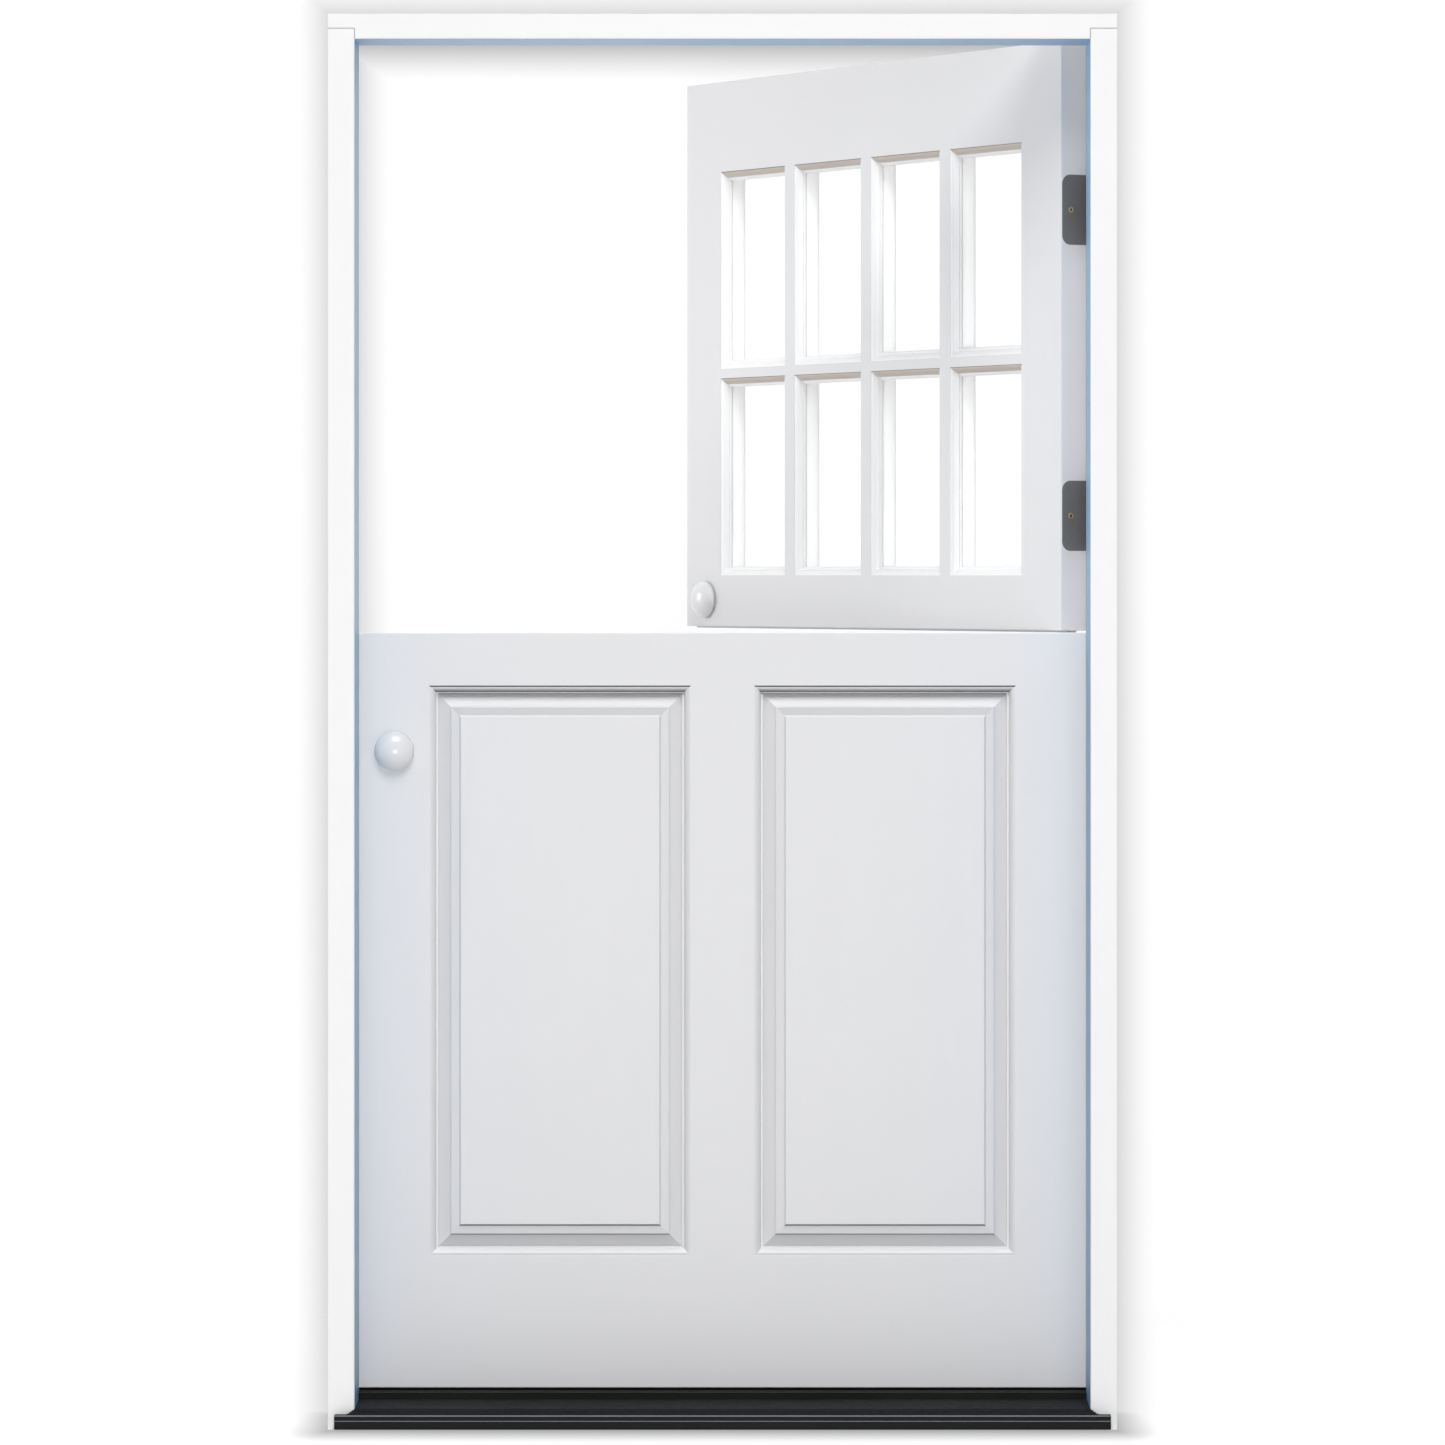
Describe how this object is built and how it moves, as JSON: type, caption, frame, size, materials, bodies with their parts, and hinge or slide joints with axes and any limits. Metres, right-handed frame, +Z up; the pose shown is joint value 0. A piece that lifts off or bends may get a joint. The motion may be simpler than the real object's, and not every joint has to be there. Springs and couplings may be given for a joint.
{
  "type": "dutch stable door",
  "caption": "Dutch stable door in a rabbeted frame: an inward opening glazed upper leaf over a lower leaf with raised panels, with hinges, knobs, latches and sill.",
  "frame": {"origin": "middle of the sill's underside, at half the frame's width and depth", "axes": "+X towards the hinges, +Y inwards, +Z up"},
  "size_m": [1.1236, 1.1088, 2.016],
  "materials": {
    "frame_paint": "satin white paint over wood",
    "leaf_paint": "satin off-white paint over wood",
    "seal": "pale foam seal in a smooth skin",
    "sill_metal": "black anodised, ribbed",
    "sill_composite": "black composite",
    "hinge_finish": "dark grey satin",
    "screw_steel": "dark, with brass middle screws in the hinges",
    "glass": "clear",
    "knob_enamel": "smooth white enamel",
    "latch_steel": "satin"
  },
  "bodies": {
    "frame": {"frame_screws": "screw_steel", "head_jamb": "frame_paint", "head_seal": "seal", "hinge_jamb": "frame_paint", "hinge_pins": "hinge_finish", "hinge_side_seal": "seal", "jamb_screws": "screw_steel", "lower_bottom_hinge_jamb_plate": "hinge_finish", "lower_top_hinge_jamb_plate": "hinge_finish", "sill_base": "sill_composite", "sill_cap": "sill_composite", "sill_tread": "sill_metal", "strike_jamb": "frame_paint", "strike_plates": "latch_steel", "strike_side_seal": "seal", "upper_bottom_hinge_jamb_plate": "hinge_finish", "upper_top_hinge_jamb_plate": "hinge_finish"},
    "upper_leaf": {"cross_bars": "leaf_paint", "glazing_beads": "leaf_paint", "joiner_guides": "latch_steel", "meeting_seal": "seal", "pane_1": "glass", "pane_2": "glass", "pane_3": "glass", "pane_4": "glass", "pane_5": "glass", "pane_6": "glass", "pane_7": "glass", "pane_8": "glass", "upper_bottom_hinge_leaf_plate": "hinge_finish", "upper_bottom_rail": "leaf_paint", "upper_hinge_stile": "leaf_paint", "upper_latch_case": "latch_steel", "upper_latch_stile": "leaf_paint", "upper_leaf_screws": "screw_steel", "upper_top_hinge_leaf_plate": "hinge_finish", "upper_top_rail": "leaf_paint", "upright_bars": "leaf_paint"},
    "lower_leaf": {"door_sweep": "seal", "joiner_keeper": "latch_steel", "left_panel": "leaf_paint", "lower_bottom_hinge_leaf_plate": "hinge_finish", "lower_bottom_rail": "leaf_paint", "lower_hinge_stile": "leaf_paint", "lower_latch_case": "latch_steel", "lower_latch_stile": "leaf_paint", "lower_leaf_screws": "screw_steel", "lower_top_hinge_leaf_plate": "hinge_finish", "lower_top_rail": "leaf_paint", "mullion": "leaf_paint", "right_panel": "leaf_paint"},
    "upper_knob": {"upper_outer_knob": "knob_enamel", "upper_inner_knob": "knob_enamel"},
    "upper_latch": {"upper_latch_bolt": "latch_steel"},
    "lower_knob": {"lower_outer_knob": "knob_enamel", "lower_inner_knob": "knob_enamel"},
    "lower_latch": {"lower_latch_bolt": "latch_steel"},
    "joiner": {"joiner_rod": "latch_steel"}
  },
  "joints": [
    {"name": "upper_leaf_swing", "type": "hinge", "parent": "frame", "child": "upper_leaf", "pos_m": [0.5349, 0.09035, 1.5], "axis": [0, 0, -1], "range_deg": [-59.2, 110.8]},
    {"name": "lower_leaf_swing", "type": "hinge", "parent": "frame", "child": "lower_leaf", "pos_m": [0.5349, 0.09035, 0.6], "axis": [0, 0, -1], "range_deg": [0, 170]},
    {"name": "upper_knob_turn", "type": "hinge", "parent": "upper_leaf", "child": "upper_knob", "pos_m": [-0.02543, 0.92984, 1.1783], "axis": [0.859, 0.512, 0], "range_deg": [0, 60], "stiffness_Nm_per_rad": 0.1},
    {"name": "upper_latch_slide", "type": "slide", "parent": "upper_leaf", "child": "upper_latch", "axis": [0.512, -0.859, 0], "range_m": [0, 0.0105]},
    {"name": "lower_knob_turn", "type": "hinge", "parent": "lower_leaf", "child": "lower_knob", "pos_m": [-0.4731, 0.0389, 0.9633], "axis": [0, 1, 0], "range_deg": [0, 60], "stiffness_Nm_per_rad": 0.1},
    {"name": "lower_latch_slide", "type": "slide", "parent": "lower_leaf", "child": "lower_latch", "axis": [1, 0, 0], "range_m": [0, 0.0105]},
    {"name": "joiner_slide", "type": "slide", "parent": "upper_leaf", "child": "joiner", "axis": [0, 0, -1], "range_m": [0, 0.022]}
  ],
  "couplings": [
    {"joint": "upper_latch_slide", "follows": "upper_knob_turn", "m_per_rad": 0.01},
    {"joint": "lower_latch_slide", "follows": "lower_knob_turn", "m_per_rad": 0.01}
  ]
}
